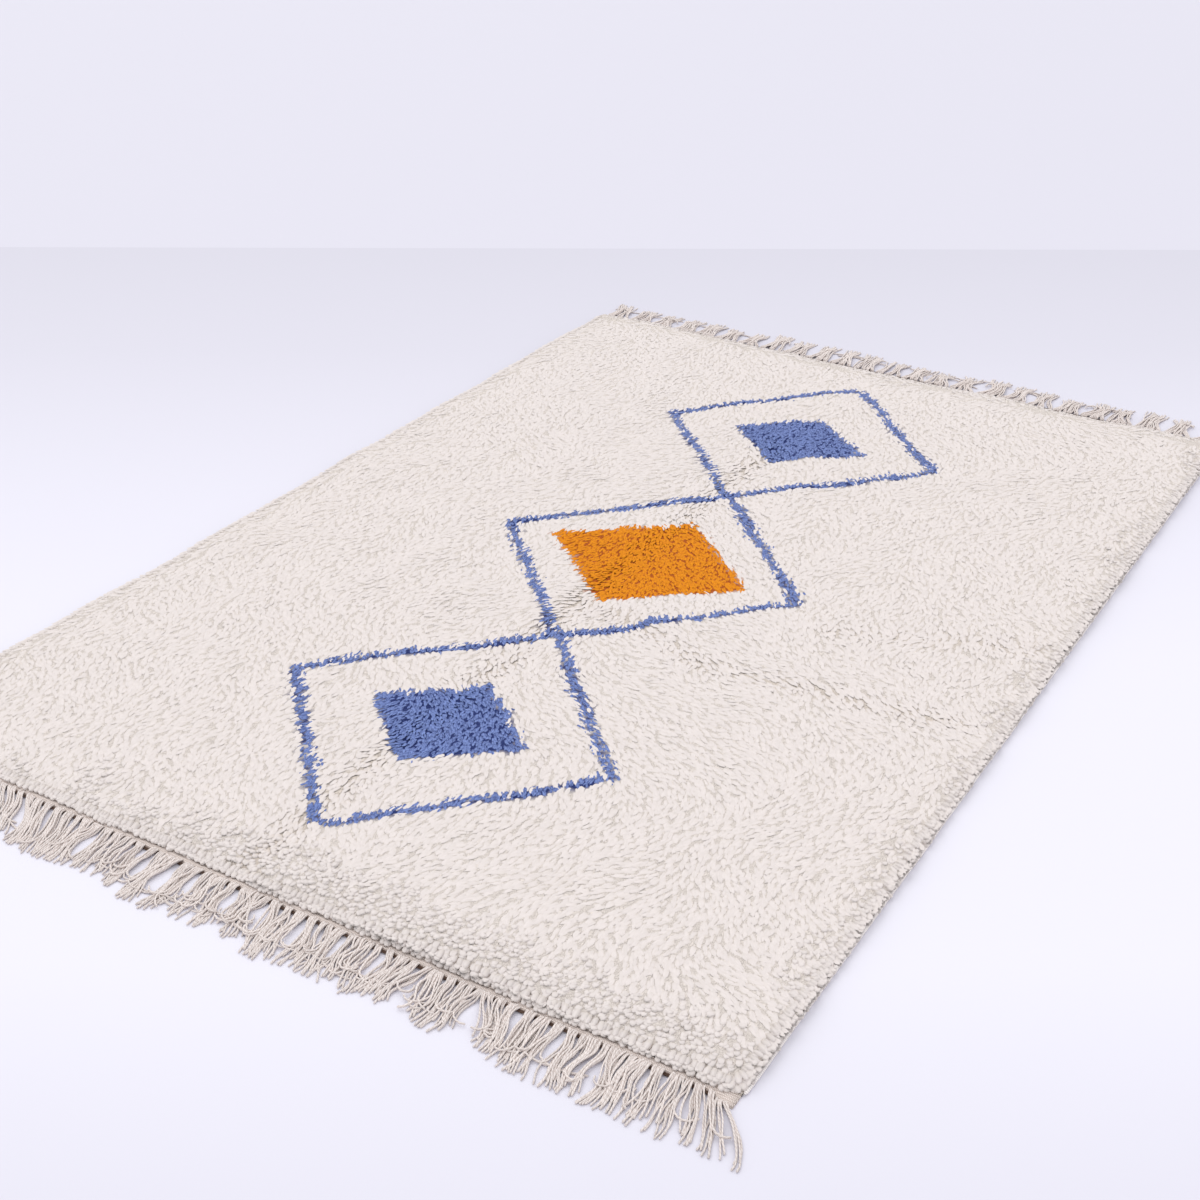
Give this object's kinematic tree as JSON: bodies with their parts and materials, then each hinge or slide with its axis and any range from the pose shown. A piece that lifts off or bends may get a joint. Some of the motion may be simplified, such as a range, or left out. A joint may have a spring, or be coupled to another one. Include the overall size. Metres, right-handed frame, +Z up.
{
  "type": "beni ourain rug",
  "caption": "Hand-knotted shag wool rug lying flat, with a thick ivory pile and a fringed woven strip at each end.",
  "frame": {"origin": "middle of the rug's outline on the floor, under the middle of the pile", "axes": "+Y along the length towards the back fringe, +X across the width, +Z up out of the pile"},
  "size_m": [2.0699, 3.1705, 0.0308],
  "materials": {
    "pile_wool": "undyed ivory wool, shaggy and matt",
    "blue_wool": "dyed blue wool, shaggy and matt",
    "ochre_wool": "dyed ochre wool, shaggy and matt",
    "warp_yarn": "plied beige yarn, matt"
  },
  "bodies": {
    "root": {"pile": "pile_wool", "fringe_front": "warp_yarn", "fringe_back": "warp_yarn"}
  },
  "joints": []
}
